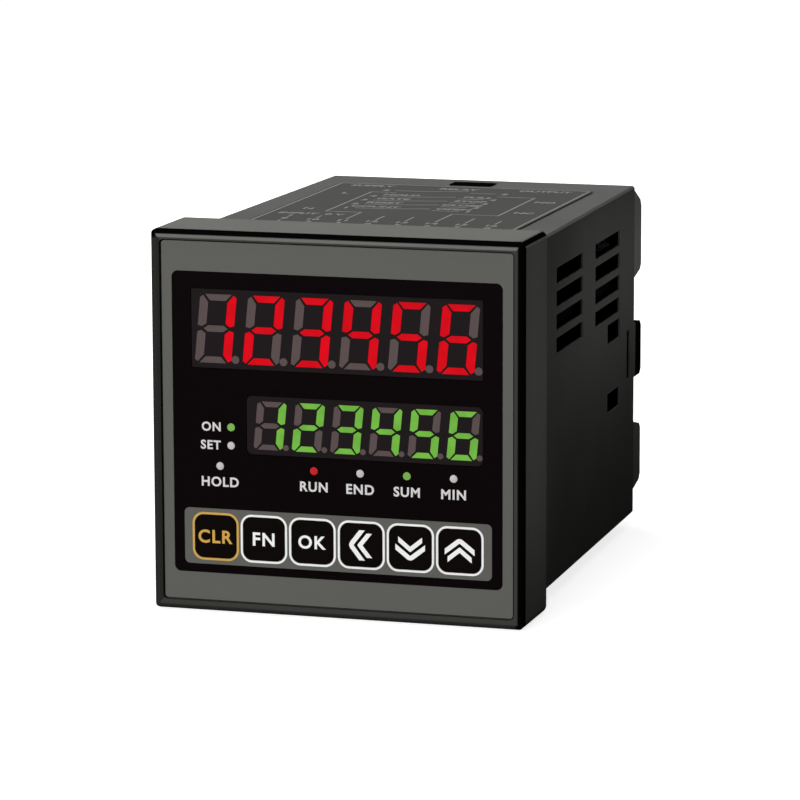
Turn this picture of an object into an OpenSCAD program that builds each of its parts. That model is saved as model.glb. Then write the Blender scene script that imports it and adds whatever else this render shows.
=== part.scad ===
// Panel counter: a square bezel and case for a panel cut-out, two six-digit displays,
// seven indicators, six sprung keys and two rows of rear screw terminals.
// Millimetres. X runs to the right, Y into the panel and Z up.
// The origin is the middle of the bezel's rear shoulder, which lies on the panel.

/* [Bezel] */
// Depth of the bezel in front of the panel
bezel_d = 16; // [14:0.5:24]
// Corner radius of the bezel seen from the front
bezel_corner_r = 1.5; // [0.8:0.1:3]
// Rounding of the bezel's front edge
bezel_edge_r = 1.3; // [0.5:0.1:1.8]
// Width of the rim around the front panel
rim_w = 1.9; // [1.7:0.1:4]
// Depth of the front panel below the rim
rim_step = 0.4; // [0.2:0.1:1]

/* [Case] */
// Length of the case behind the bezel
case_l = 84; // [74:1:120]
// Step from the bezel's edge in to the case wall
shoulder_w = 2.2; // [1.5:0.1:4]
// Narrowing of each side of the case over its length
side_draft = 1.8; // [0:0.1:3]
// Wall thickness of the case
wall = 1.8; // [1.2:0.1:2.5]
// Bevel on the case's long edges
case_bevel = 0.4; // [0.2:0.1:1.2]

/* [Vents] */
// Length of a vent slot
vent_l = 21.5; // [10:0.5:24]
// Height of a vent slot
vent_h = 3; // [1:0.05:3.5]
// Distance between vent rows
vent_pitch = 4.47; // [4:0.01:6]
// Bar between the front and rear vent columns
vent_bar = 10.9; // [3:0.1:12]
// Distance from the case's top to the first vent row
vent_top = 8.7; // [6:0.1:14]
// Distance from the case's rear edge to the rear vent column
vent_rear = 13.5; // [11:0.5:20]

/* [Bracket holes] */
// Length of a bracket hole
bracket_l = 11; // [6:0.5:16]
// Height of a bracket hole
bracket_h = 3.9; // [2:0.1:5]
// Height of a bracket hole above or below the middle
bracket_z = 6.95; // [5.5:0.05:9]

/* [Front panel] */
// Thickness of the grey front panel
panel_t = 2.6; // [2.4:0.1:4]
// Depth of the pocket that holds the window and the key strip
pocket_d = 1.4; // [1:0.1:1.8]
// Grey border beside the window
border_side = 2; // [1:0.1:6]
// Grey border above the window
border_top = 5.6; // [5:0.1:10]
// Grey border below the window
border_bottom = 5.2; // [5:0.1:10]
// Corner radius of the front panel
panel_r = 0.6; // [0.2:0.1:1.2]
// Groove between the rim and the front panel
panel_gap = 0.3; // [0.1:0.05:0.6]
// Corner radius of the black window
window_r = 1.2; // [0.5:0.1:3]
// Black margin beside the key strip
window_side = 2; // [1:0.1:6]
// Black margin above the upper display
window_top = 3.2; // [1:0.1:8]
// Black margin below the key strip
window_bottom = 1.6; // [0.8:0.1:6]

/* [Displays] */
// Count shown, in six digits
shown_count = 123456; // [0:1:999999]
// Height of a digit in the upper display
upper_digit_h = 12.9; // [9:0.1:16]
// Width of a digit in the upper display
upper_digit_w = 7.1; // [5:0.1:8]
// Thickness of the level strokes in the upper display
upper_stroke = 1.2; // [0.8:0.05:1.8]
// Height of a digit in the lower display
lower_digit_h = 9.1; // [6:0.1:12]
// Width of a digit in the lower display
lower_digit_w = 5.65; // [4:0.05:6]
// Thickness of the level strokes in the lower display
lower_stroke = 1; // [0.6:0.05:1.4]
// Lean of the digits in degrees
digit_lean = 5.5; // [0:0.5:7]
// Dark face above and below the digits
face_margin = 0.95; // [0.5:0.05:3]
// Black gap between the two displays
display_gap = 4.9; // [3:0.1:10]
// Depth of the strokes in the display face
stroke_d = 0.6; // [0.3:0.1:2]

/* [Indicators] */
// Radius of an indicator's tip
led_r = 0.72; // [0.5:0.02:1.2]
// Distance between the indicators in the row
led_pitch = 8.97; // [5:0.01:10]
// Distance from the lower display to the indicator row
led_drop = 2.55; // [2:0.05:5]
// Distance between the two indicators beside the lower display
led_step = 3.45; // [3:0.05:5]

/* [Keys] */
// Width and height of one key top
key_w = 8.05; // [6.5:0.05:10]
// Corner radius of a key top
key_corner_r = 1.75; // [0.5:0.05:2.5]
// Space between neighbouring key tops
key_space = 1.43; // [1.2:0.01:3]
// Travel of a key
key_travel = 0.4; // [0.2:0.05:0.6]
// Grey lip of the strip above and below the keys
strip_lip = 1.275; // [1:0.005:3]
// Grey end of the strip beside the first and last key
strip_end = 1.36; // [1.2:0.01:4]
// Corner radius of the key strip
strip_r = 1; // [0.3:0.1:2]
// Distance from the indicator row down to the key strip
strip_drop = 8.15; // [5:0.05:14]

/* [Terminals] */
// Reach of the terminal rows behind the case
terminal_d = 6.7; // [5:0.1:12]
// Thickness of the barriers between terminals
barrier_t = 1.2; // [0.8:0.1:1.6]
// Height of the screw rows above and below the middle
row_z = 22; // [21:0.1:23]
// Diameter of a terminal screw's thread
screw_d = 3; // [2.5:0.1:3.5]
// Diameter of a terminal screw's head
screw_head_d = 5.6; // [4.5:0.1:6]

/* [Hidden] */
$fn = 48;
key_count = 6;
digit_count = 6;
row_count = 8;
vent_rows = 4;
cut = 1;

// Clearances
fit_gap = 0.1;
window_gap = 0.05;
stroke_gap = 0.04;
key_gap = 0.1;
flange_gap = 0.05;
plunger_gap = 0.08;
guide_gap = 0.15;
board_gap = 0.3;
shank_gap = 0.1;

// Digit cells, from the digit's own sizes
dot_gap = 0.15;
cell_end = 0.05;
upright_ratio = 1.4;
joint_ratio = 0.3;
upper_lead = 0.55;
lower_lead = 0.5;
lower_start = 0.75;
upper_dot_r = 0.75;
lower_dot_r = 0.55;
upper_pitch = upper_lead + upper_digit_w + dot_gap + 2 * upper_dot_r + cell_end;
lower_pitch = lower_lead + lower_digit_w + dot_gap + 2 * lower_dot_r + cell_end;
upper_face_w = digit_count * upper_pitch;
upper_face_h = upper_digit_h + 2 * face_margin;
lower_face_w = lower_start + digit_count * lower_pitch;
lower_face_h = lower_digit_h + 2 * face_margin;
lower_face_r = 1.1;
upper_face_r = 0.3;

// Front layout, built up from the keys and displays
key_pitch = key_w + key_space;
strip_w = key_count * key_pitch + 2 * strip_end;
strip_h = key_w + 2 * strip_lip;
window_w = max(strip_w, upper_face_w) + 2 * window_side;
window_h = window_top + upper_face_h + display_gap + lower_face_h + led_drop + strip_drop
    + strip_h + window_bottom;
panel_w = window_w + 2 * border_side;
panel_h = window_h + border_top + border_bottom;
bezel_w = panel_w + 2 * (panel_gap + rim_w);
bezel_h = panel_h + 2 * (panel_gap + rim_w);
window_up = panel_h / 2 - border_top;
upper_z = window_up - window_top - upper_face_h / 2;
lower_z = upper_z - upper_face_h / 2 - display_gap - lower_face_h / 2;
led_z = lower_z - lower_face_h / 2 - led_drop;
strip_z = led_z - strip_drop - strip_h / 2;
window_z = window_up - window_h / 2;
display_right = upper_face_w / 2;
lower_left = display_right - lower_face_w;
led_row_end = 5.53;
led_side = 3.1;
led_lock_side = 5.3;
led_side_drop = 0.63;

// Depths behind the rim
panel_y = -bezel_d + rim_step;
floor_y = panel_y + pocket_d;
panel_back = panel_y + panel_t;
post_l = 5.3;
board_t = 1.6;
board_y = panel_back + post_l;
board_back = board_y + board_t;
display_set = 0.1;
key_proud = 0.15;
flange_t = 0.8;
flange_y = floor_y + flange_gap;
flange_side = 0.3;
flange_w = key_pitch - 2 * flange_side;
post_r = 1.5;
plunger_r = 1.7;
plunger_l = 2;
switch_w = 6;
switch_t = 3.5;
switch_y = board_y - switch_t;
plunger_dip = 0.9;
plunger_y = switch_y + plunger_dip - plunger_l;
bore_spare = 0.3;
led_base_r = 1.2;
led_dome_r = 1.6;

// Case
case_w = bezel_w - 2 * shoulder_w;
case_h = bezel_h - 2 * shoulder_w;
rear_w = case_w - 2 * side_draft;
draft_angle = atan(side_draft / case_l);
inner_h = case_h - 2 * wall;
bracket_rear = 13;
latch_h = 11;
latch_l = 6;
latch_nose = 1;
slit_h = 10;
slit_l = 2.8;
slit_rear = 3.8;
slot_w = 8.7;
slot_l = 1.8;
slot_rear = 3.6;
guide_t = 1.2;
guide_w = 1.5;
guide_front = 8;

// Posts behind the front panel and the board screws in them
stand_r = 2.2;
stand_side = 5.2;
stand_end = 4.6;
small_screw_d = 2;
small_head_d = 3.8;
small_head_h = 1.5;
small_screw_l = 5;

// Rear terminals
base_d = 7.5;
plate_t = 3;
skirt_t = 1.5;
boss_r = 3.1;
row_end = 0.2;
slab_t = 1.2;
row_w = rear_w - 2 * row_end;
row_pitch = (row_w - barrier_t) / row_count;
cell_w = row_pitch - barrier_t;
upper_reach = 11.2;
upper_slope = 3.3;
lower_reach = 7.1;
lower_slope = 1.5;
inner_reach = 7.3;
inner_slope = 1.5;
row_nose = 0.9;
tab_t = 0.8;
tab_side = 0.3;
tab_over = 3.5;
tongue_w = 2.4;
tongue_lap = 6;
clamp_t = 0.8;
screw_head_h = 2;
cross_w = 0.9;
cross_l = 3.6;
cross_d = 1.1;
nub_h = 0.9;
nub_gap = 0.2;

// Boards behind the front board; the terminal tongues lie on them
tongue_drop = 6;
tongue_z = row_z - tongue_drop;
deck_gap = 0.5;
deck_rear = case_l - base_d - deck_gap;
connector_w = 40;
connector_d = 5;
connector_h = 4;
core_w = 30;
core_d = 26;
core_h = 24;
core_x = -12;
core_y = 46;
core_limb = 5;
coil_side = 0.4;
coil_gap = 0.5;
coil_h = core_h - 2 * core_limb - 2 * coil_gap;
relay_w = 16;
relay_d = 22;
relay_x = 15;
relay_y = 48;
relay_h = 12;
can_r = 8;
can_h = 24;
can_x = 16;
can_y = 22;
can_vent = 0.6;
neck_d = 0.6;
neck_z = 2;
neck_h = 1.2;
chip_w = 14;
chip_t = 1.6;
chip_x = -10;
chip_y = 22;

// Colours
charcoal = [0.2, 0.2, 0.195];
panel_grey = [0.37, 0.37, 0.36];
window_black = [0.05, 0.035, 0.035];
face_grey = [0.12, 0.1, 0.105];
unlit_grey = [0.38, 0.33, 0.33];
red_lit = [0.9, 0.03, 0.08];
green_lit = [0.44, 0.75, 0.25];
lens_grey = [0.62, 0.6, 0.6];
board_green = [0.05, 0.3, 0.16];
brass = [0.75, 0.62, 0.32];
steel = [0.72, 0.72, 0.74];

// Strokes of each numeral: a top, b and c right, d bottom, e and f left, g middle
STROKES = ["a", "b", "c", "d", "e", "f", "g"];
NUMERALS = ["abcdef", "bc", "abdeg", "abcdg", "bcfg", "acdfg", "acdefg", "abc", "abcdefg", "abcdfg"];

key_ids = [for (i = [1:key_count]) i];
LEDS = ["led_power", "led_preset", "led_lock", "led_out", "led_batch", "led_count", "led_timer"];

function half_at(y) = case_w / 2 - side_draft * max(y, 0) / case_l;
function key_x(i) = (i - (key_count + 1) / 2) * key_pitch;
function row_x(i) = (i - (row_count - 1) / 2) * row_pitch;
function numeral(i) = floor(shown_count / pow(10, digit_count - 1 - i)) % 10;
function is_lit(i, s) = len(search(STROKES[s], NUMERALS[numeral(i)])) > 0;

// Places of the indicators on the window: two beside the lower display, the lock one, then the row
function led_place(i) =
    i < 2 ? [lower_left - led_side, lower_z - led_side_drop - i * led_step]
    : i == 2 ? [lower_left - led_lock_side, led_z]
    : [display_right - led_row_end - (len(LEDS) - 1 - i) * led_pitch, led_z];

// Outline of one stroke of a digit w wide and h high, with stroke t and a joint of g between strokes
function lean(p) = [p[0] + p[1] * tan(digit_lean), p[1]];
function side_t(t) = upright_ratio * t;
function corner_cut(t) = 0.5 * t;
function top_stroke(w, h, t, g) = [
    [corner_cut(t) + g, h],
    [w - corner_cut(t) - g, h],
    [w - side_t(t) - g, h - t],
    [side_t(t) + g, h - t]
];
function left_stroke(w, h, t, g) = [
    [0, h / 2 + t / 2],
    [side_t(t) / 2, h / 2 + g],
    [side_t(t), h / 2 + t / 2 + g],
    [side_t(t), h - t - g],
    [corner_cut(t), h - g / 2],
    [0, h - corner_cut(t)]
];
function middle_stroke(w, h, t, g) = [
    [side_t(t) / 2 + g, h / 2],
    [side_t(t) + g, (h + t) / 2],
    [w - side_t(t) - g, (h + t) / 2],
    [w - side_t(t) / 2 - g, h / 2],
    [w - side_t(t) - g, (h - t) / 2],
    [side_t(t) + g, (h - t) / 2]
];
function flip_x(pts, w) = [for (p = pts) [w - p[0], p[1]]];
function flip_z(pts, h) = [for (p = pts) [p[0], h - p[1]]];
function stroke_points(s, w, h, t, g) =
    s == 0 ? top_stroke(w, h, t, g)
    : s == 1 ? flip_x(left_stroke(w, h, t, g), w)
    : s == 2 ? flip_z(flip_x(left_stroke(w, h, t, g), w), h)
    : s == 3 ? flip_z(top_stroke(w, h, t, g), h)
    : s == 4 ? flip_z(left_stroke(w, h, t, g), h)
    : s == 5 ? left_stroke(w, h, t, g)
    : middle_stroke(w, h, t, g);

// An outline in X and Z, extruded from one depth to another
module slab(y_front, y_back) {
    translate([0, y_back, 0]) rotate([90, 0, 0]) linear_extrude(y_back - y_front) children();
}

// An outline in Y and Z, extruded sideways about x
module along_x(x, w) {
    translate([x - w / 2, 0, 0]) rotate([90, 0, 90]) linear_extrude(w) children();
}

// A rectangle with round corners, centred
module round_rect(w, h, r) {
    square([w - 2 * r, h], center = true);
    square([w, h - 2 * r], center = true);
    for (sx = [-1, 1], sy = [-1, 1])
        translate([sx * (w / 2 - r), sy * (h / 2 - r)]) circle(r);
}

// A rod along Y
module rod(x, z, r, y_front, y_back) {
    translate([x, y_front, z]) rotate([-90, 0, 0]) cylinder(r = r, h = y_back - y_front);
}

// Outline of the case from above, set in from its walls
module plan(inset, y_front, y_back) {
    polygon([
        [-half_at(y_front) + inset, y_front],
        [half_at(y_front) - inset, y_front],
        if (y_front < 0) [half_at(0) - inset, 0],
        [half_at(y_back) - inset, y_back],
        [-half_at(y_back) + inset, y_back],
        if (y_front < 0) [-half_at(0) + inset, 0]
    ]);
}

// A flat layer with the case's plan, from one height to another
module layer(inset, y_front, y_back, z_low, z_high) {
    translate([0, 0, z_low]) linear_extrude(z_high - z_low) plan(inset, y_front, y_back);
}

// The bezel's outline across one width, with its front corners rounded
module front_rounded(w) {
    translate([-w / 2, -bezel_d + bezel_edge_r]) square([w, bezel_d - bezel_edge_r]);
    translate([-w / 2 + bezel_edge_r, -bezel_d]) square([w - 2 * bezel_edge_r, bezel_d]);
    for (s = [-1, 1])
        translate([s * (w / 2 - bezel_edge_r), -bezel_d + bezel_edge_r]) circle(bezel_edge_r);
}

module bezel_block() {
    intersection() {
        slab(-bezel_d, 0) round_rect(bezel_w, bezel_h, bezel_corner_r);
        translate([0, 0, -bezel_h / 2]) linear_extrude(bezel_h) front_rounded(bezel_w);
        rotate([0, 90, 0]) translate([0, 0, -bezel_w / 2]) linear_extrude(bezel_w) front_rounded(bezel_h);
    }
}

// What a bevel takes off one long edge of the case
module edge_bevel(sx, sz) {
    translate([sx * case_w / 2, 0, sz * case_h / 2])
        rotate([0, 0, sx * draft_angle]) rotate([-90, 0, 0])
            linear_extrude(case_l + latch_l) rotate(45) square(case_bevel / sin(45), center = true);
}

module tube() {
    difference() {
        layer(0, -cut, case_l, -case_h / 2, case_h / 2);
        for (sx = [-1, 1], sz = [-1, 1]) edge_bevel(sx, sz);
    }
    for (s = [-1, 1]) along_x(s * (rear_w - wall) / 2, wall) latch_outline();
}

// Side outline of a latch tongue, which carries the case's side on past its rear end
module latch_outline() {
    polygon([
        [case_l - cut, -latch_h / 2],
        [case_l + latch_l - latch_nose, -latch_h / 2],
        [case_l + latch_l, -latch_h / 2 + latch_nose],
        [case_l + latch_l, latch_h / 2 - latch_nose],
        [case_l + latch_l - latch_nose, latch_h / 2],
        [case_l - cut, latch_h / 2]
    ]);
}

// Slots, bracket holes and latch slits in both sides
module side_cuts() {
    for (s = [-1, 1]) {
        for (column = [0, 1], row = [0:vent_rows - 1])
            side_hole(s, case_l - vent_rear - vent_l - column * (vent_l + vent_bar), vent_l,
                case_h / 2 - vent_top - row * vent_pitch, vent_h);
        for (sz = [-1, 1])
            side_hole(s, case_l - bracket_rear - bracket_l, bracket_l, sz * bracket_z, bracket_h);
        side_hole(s, case_l - slit_rear - slit_l, slit_l, 0, slit_h);
    }
}

module side_hole(s, y, l, z, h) {
    translate([s * (case_w / 2 - wall), y + l / 2, z])
        cube([4 * wall + 2 * side_draft, l, h], center = true);
}

// Rails that the two boards slide into
module guides() {
    for (sz = [-1, 1], step = [-1, 1]) {
        z_mid = sz * (tongue_z - board_t / 2) + step * (board_t / 2 + guide_gap + guide_t / 2);
        difference() {
            layer(wall - fit_gap, guide_front, case_l - base_d - cut,
                z_mid - guide_t / 2, z_mid + guide_t / 2);
            layer(wall + guide_w, guide_front - cut, case_l, z_mid - guide_t, z_mid + guide_t);
        }
    }
}

module case() {
    color(charcoal) {
        difference() {
            union() {
                bezel_block();
                tube();
            }
            layer(wall, panel_back - cut, case_l + cut, -inner_h / 2, inner_h / 2);
            slab(-bezel_d - cut, panel_back)
                round_rect(panel_w + 2 * panel_gap, panel_h + 2 * panel_gap, panel_r + panel_gap);
            side_cuts();
            for (sz = [-1, 1])
                translate([0, case_l - slot_rear - slot_l / 2, sz * (case_h - wall) / 2])
                    cube([slot_w, slot_l, 2 * wall], center = true);
        }
        guides();
    }
}

// Side outline of one terminal row's plate, from its inner end to its outer end
module row_outline(sz, reach, slope, depth) {
    polygon([
        [case_l, sz * (row_z - inner_reach)],
        [case_l + depth, sz * (row_z - inner_reach + inner_slope * depth / terminal_d)],
        [case_l + depth, sz * (row_z + reach - slope * depth / terminal_d)],
        [case_l, sz * (row_z + reach)]
    ]);
}

// Side outline of a barrier, with its two rear corners cut off
module barrier_outline(sz, reach, slope) {
    neck = terminal_d - row_nose;
    polygon([
        [case_l, sz * (row_z - inner_reach)],
        [case_l + neck, sz * (row_z - inner_reach + inner_slope * neck / terminal_d)],
        [case_l + terminal_d, sz * (row_z - inner_reach + inner_slope + row_nose)],
        [case_l + terminal_d, sz * (row_z + reach - slope - row_nose)],
        [case_l + neck, sz * (row_z + reach - slope * neck / terminal_d)],
        [case_l, sz * (row_z + reach)]
    ]);
}

module terminal_row(sz, reach, slope) {
    along_x(0, row_w) row_outline(sz, reach, slope, slab_t);
    for (i = [0:row_count])
        along_x(row_x(i - 0.5), barrier_t) barrier_outline(sz, reach, slope);
}

// Snap noses that catch in the case's slits and slots
module nubs() {
    y_mid = case_l - slit_rear - slit_l / 2;
    for (s = [-1, 1]) {
        translate([s * (half_at(y_mid) - wall + (nub_h - skirt_t) / 2), y_mid, 0])
            cube([nub_h + skirt_t, slit_l - 2 * nub_gap, slit_h - 2 * nub_gap], center = true);
        translate([0, case_l - slot_rear - slot_l / 2, s * (inner_h / 2 + (nub_h - skirt_t) / 2)])
            cube([slot_w - 2 * nub_gap, slot_l - 2 * nub_gap, nub_h + skirt_t], center = true);
    }
}

module terminal_base() {
    base_h = inner_h - 2 * fit_gap;
    color(charcoal) difference() {
        union() {
            layer(wall + fit_gap, case_l - base_d, case_l, -base_h / 2, base_h / 2);
            terminal_row(1, upper_reach, upper_slope);
            terminal_row(-1, lower_reach, lower_slope);
            nubs();
        }
        difference() {
            layer(wall + fit_gap + skirt_t, case_l - base_d - cut, case_l - plate_t,
                -base_h / 2 + skirt_t, base_h / 2 - skirt_t);
            for (sz = [-1, 1], i = [0:row_count - 1])
                rod(row_x(i), sz * row_z, boss_r, case_l - base_d - cut, case_l);
        }
        for (sz = [-1, 1], i = [0:row_count - 1]) {
            rod(row_x(i), sz * row_z, screw_d / 2 + shank_gap,
                case_l - base_d - cut, case_l + slab_t + cut);
            translate([row_x(i), case_l, sz * (tongue_z + tab_t / 2)])
                cube([tongue_w + 2 * fit_gap, 4 * base_d, tab_t + 2 * fit_gap], center = true);
        }
    }
}

// One brass contact: a tab under the screw and a tongue bent forward to the board
module terminal_bar(x, sz) {
    tab_y = case_l + slab_t;
    tab_h = row_z + tab_over - tongue_z;
    difference() {
        translate([x, tab_y + tab_t / 2, sz * (tongue_z + tab_h / 2)])
            cube([cell_w - 2 * tab_side, tab_t, tab_h], center = true);
        rod(x, sz * row_z, screw_d / 2 + shank_gap, tab_y - cut, tab_y + tab_t + cut);
    }
    translate([x, (tab_y + deck_rear - tongue_lap) / 2, sz * (tongue_z + tab_t / 2)])
        cube([tongue_w, tab_y - deck_rear + tongue_lap, tab_t], center = true);
}

module terminal_bars() {
    color(brass) for (sz = [-1, 1], i = [0:row_count - 1]) terminal_bar(row_x(i), sz);
}

// Square washers that the screws press on the wires
module clamp_plates() {
    clamp_y = case_l + slab_t + tab_t;
    clamp_w = cell_w - 2 * tab_side;
    color(steel) for (sz = [-1, 1], i = [0:row_count - 1])
        translate([row_x(i), 0, sz * row_z]) slab(clamp_y, clamp_y + clamp_t) difference() {
            square(clamp_w, center = true);
            circle(screw_d / 2 + shank_gap);
        }
}

// Pan-head screws with a cross recess
module terminal_screws() {
    head_y = case_l + slab_t + tab_t + clamp_t;
    color(steel) for (sz = [-1, 1], i = [0:row_count - 1])
        difference() {
            union() {
                rod(row_x(i), sz * row_z, screw_d / 2, case_l - base_d, head_y);
                rod(row_x(i), sz * row_z, screw_head_d / 2, head_y, head_y + screw_head_h);
            }
            for (turn = [0, 90])
                translate([row_x(i), head_y + screw_head_h, sz * row_z]) rotate([0, turn, 0])
                    cube([cross_l, 2 * cross_d, cross_w], center = true);
        }
}

// Every stroke of one display, in place on the front; grow opens them up for the recesses
module strokes(digit_h, digit_w, stroke, pitch, lead, start, grow, wanted) {
    w = digit_w + 2 * grow;
    h = digit_h + 2 * grow;
    t = stroke + 2 * grow;
    joint = joint_ratio * stroke - 2 * grow;
    for (i = [0:digit_count - 1], s = [0:len(STROKES) - 1])
        if (wanted == "all" || is_lit(i, s) == (wanted == "lit"))
            translate([start + i * pitch + lead - grow, -digit_h / 2 - grow])
                polygon([for (p = stroke_points(s, w, h, t, joint)) lean(p)]);
}

module dots(digit_h, digit_w, pitch, lead, start, dot_r, grow) {
    for (i = [0:digit_count - 1])
        translate([start + i * pitch + lead + digit_w + dot_gap + dot_r, -digit_h / 2 + dot_r])
            circle(dot_r + grow);
}

module upper_strokes(grow, wanted) {
    strokes(upper_digit_h, upper_digit_w, upper_stroke, upper_pitch, upper_lead, -upper_face_w / 2, grow,
        wanted);
}

module upper_dots(grow) {
    dots(upper_digit_h, upper_digit_w, upper_pitch, upper_lead, -upper_face_w / 2, upper_dot_r, grow);
}

module lower_strokes(grow, wanted) {
    strokes(lower_digit_h, lower_digit_w, lower_stroke, lower_pitch, lower_lead, lower_left + lower_start,
        grow, wanted);
}

module lower_dots(grow) {
    dots(lower_digit_h, lower_digit_w, lower_pitch, lower_lead, lower_left + lower_start, lower_dot_r,
        grow);
}

// Front outlines of the two display faces
module upper_face(grow) {
    round_rect(upper_face_w + 2 * grow, upper_face_h + 2 * grow, upper_face_r + grow);
}

module lower_face(grow) {
    translate([display_right - lower_face_w / 2, 0])
        round_rect(lower_face_w + 2 * grow, lower_face_h + 2 * grow, lower_face_r + grow);
}

module upper_display() {
    color(face_grey) translate([0, 0, upper_z]) difference() {
        slab(panel_y + display_set, board_y) upper_face(0);
        slab(panel_y, panel_y + display_set + stroke_d) {
            upper_strokes(stroke_gap, "all");
            upper_dots(stroke_gap);
        }
    }
}

module upper_lit() {
    color(red_lit) translate([0, 0, upper_z])
        slab(panel_y + display_set, panel_y + display_set + stroke_d) upper_strokes(0, "lit");
}

module upper_unlit() {
    color(unlit_grey) translate([0, 0, upper_z])
        slab(panel_y + display_set, panel_y + display_set + stroke_d) {
            upper_strokes(0, "unlit");
            upper_dots(0);
        }
}

module lower_display() {
    color(face_grey) translate([0, 0, lower_z]) difference() {
        slab(panel_y + display_set, board_y) lower_face(0);
        slab(panel_y, panel_y + display_set + stroke_d) {
            lower_strokes(stroke_gap, "all");
            lower_dots(stroke_gap);
        }
    }
}

module lower_lit() {
    color(green_lit) translate([0, 0, lower_z])
        slab(panel_y + display_set, panel_y + display_set + stroke_d) lower_strokes(0, "lit");
}

module lower_unlit() {
    color(unlit_grey) translate([0, 0, lower_z])
        slab(panel_y + display_set, panel_y + display_set + stroke_d) {
            lower_strokes(0, "unlit");
            lower_dots(0);
        }
}

// A light pipe with a low domed tip, standing on the front board
module led(i) {
    place = led_place(i);
    tint = i == 0 || i == 5 ? green_lit : i == 3 ? red_lit : lens_grey;
    dome_back = sqrt(led_dome_r * led_dome_r - led_r * led_r);
    color(tint) {
        intersection() {
            rod(place[0], place[1], led_r, panel_y - led_r, floor_y + window_gap);
            translate([place[0], panel_y + dome_back, place[1]]) sphere(led_dome_r);
        }
        rod(place[0], place[1], led_base_r, floor_y + window_gap, board_y);
    }
}

// Openings that the displays and indicators stand in
module front_openings(grow, led_hole_r) {
    translate([0, upper_z]) upper_face(grow);
    translate([0, lower_z]) lower_face(grow);
    for (i = [0:len(LEDS) - 1]) translate(led_place(i)) circle(led_hole_r);
}

module front_panel() {
    key_bay_w = key_count * key_pitch;
    key_bay_h = flange_w + 4 * key_gap;
    stand_x = panel_w / 2 - stand_side;
    stand_z = panel_h / 2 - stand_end;
    color(panel_grey) difference() {
        union() {
            slab(panel_y, panel_back) round_rect(panel_w, panel_h, panel_r);
            for (sx = [-1, 1], sz = [-1, 1])
                rod(sx * stand_x, sz * stand_z, stand_r, floor_y, board_y);
        }
        translate([0, 0, window_z]) slab(panel_y - cut, floor_y)
            round_rect(window_w + 2 * window_gap, window_h + 2 * window_gap, window_r + window_gap);
        slab(floor_y - cut, panel_back + cut) {
            front_openings(fit_gap, led_base_r + fit_gap);
            translate([0, strip_z]) square([key_bay_w, key_bay_h], center = true);
        }
        for (sx = [-1, 1], sz = [-1, 1])
            rod(sx * stand_x, sz * stand_z, small_screw_d / 2 + shank_gap,
                board_back - small_screw_l - board_t, board_y + cut);
    }
}

module display_window() {
    color(window_black) slab(panel_y, floor_y) difference() {
        translate([0, window_z]) round_rect(window_w, window_h, window_r);
        front_openings(fit_gap, led_r + window_gap);
        translate([0, strip_z])
            round_rect(strip_w + 2 * window_gap, strip_h + 2 * window_gap, strip_r + window_gap);
    }
}

module key_strip() {
    color(panel_grey) slab(panel_y, floor_y) translate([0, strip_z]) difference() {
        round_rect(strip_w, strip_h, strip_r);
        for (i = key_ids)
            translate([key_x(i), 0])
                round_rect(key_w + 2 * key_gap, key_w + 2 * key_gap, key_corner_r + key_gap);
    }
}

// A key top with a flange behind the strip and a post to the switch
module key(i) {
    color(window_black) {
        translate([key_x(i), 0, strip_z]) {
            slab(panel_y - key_proud, flange_y) round_rect(key_w, key_w, key_corner_r);
            slab(flange_y, flange_y + flange_t) round_rect(flange_w, flange_w, key_corner_r);
        }
        rod(key_x(i), strip_z, post_r, flange_y + flange_t, plunger_y);
    }
}

module plunger(i) {
    color("ivory") rod(key_x(i), strip_z, plunger_r, plunger_y, plunger_y + plunger_l);
}

module switch_body(i) {
    color("dimgray") difference() {
        translate([key_x(i), 0, strip_z]) slab(switch_y, board_y) square(switch_w, center = true);
        rod(key_x(i), strip_z, plunger_r + plunger_gap, switch_y - cut,
            switch_y + plunger_dip + key_travel + bore_spare);
    }
}

module front_board() {
    color(board_green) slab(board_y, board_back) difference() {
        square([case_w - 2 * wall - 2 * board_gap, inner_h - 2 * board_gap], center = true);
        for (sx = [-1, 1], sz = [-1, 1])
            translate([sx * (panel_w / 2 - stand_side), sz * (panel_h / 2 - stand_end)])
                circle(small_screw_d / 2 + shank_gap);
    }
}

module board_screws() {
    color(steel) for (sx = [-1, 1], sz = [-1, 1]) {
        x = sx * (panel_w / 2 - stand_side);
        z = sz * (panel_h / 2 - stand_end);
        rod(x, z, small_screw_d / 2, board_back - small_screw_l, board_back);
        rod(x, z, small_head_d / 2, board_back, board_back + small_head_h);
    }
}

module upper_board() {
    color(board_green) layer(wall + board_gap, board_back, deck_rear, tongue_z - board_t, tongue_z);
}

module lower_board() {
    color(board_green) layer(wall + board_gap, board_back, deck_rear, -tongue_z, board_t - tongue_z);
}

// Sockets between the front board and the two boards behind it
module board_connectors() {
    color("black") for (sz = [-1, 1])
        translate([0, board_back + connector_d / 2, sz * (tongue_z + connector_h / 2)])
            cube([connector_w, connector_d, connector_h], center = true);
}

// A laminated frame with a middle leg, standing on the lower board
module transformer_core() {
    window_span = (core_w - 4 * core_limb) / 2;
    color("slategray") translate([core_x, core_y, board_t - tongue_z + core_h / 2]) difference() {
        cube([core_w, core_d / 2, core_h], center = true);
        for (s = [-1, 1])
            translate([s * (core_limb + window_span / 2), 0, 0])
                cube([window_span, core_d, core_h - 2 * core_limb], center = true);
    }
}

// The winding on the middle leg, filling both windows and standing out in front and behind
module transformer_coil() {
    window_span = (core_w - 4 * core_limb) / 2;
    color("goldenrod") translate([core_x, core_y, board_t - tongue_z + core_h / 2]) difference() {
        cube([2 * (core_limb + window_span) - 2 * coil_side, core_d, coil_h], center = true);
        cube([2 * core_limb + 2 * fit_gap, core_d / 2 + 2 * fit_gap, core_h], center = true);
    }
}

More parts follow.
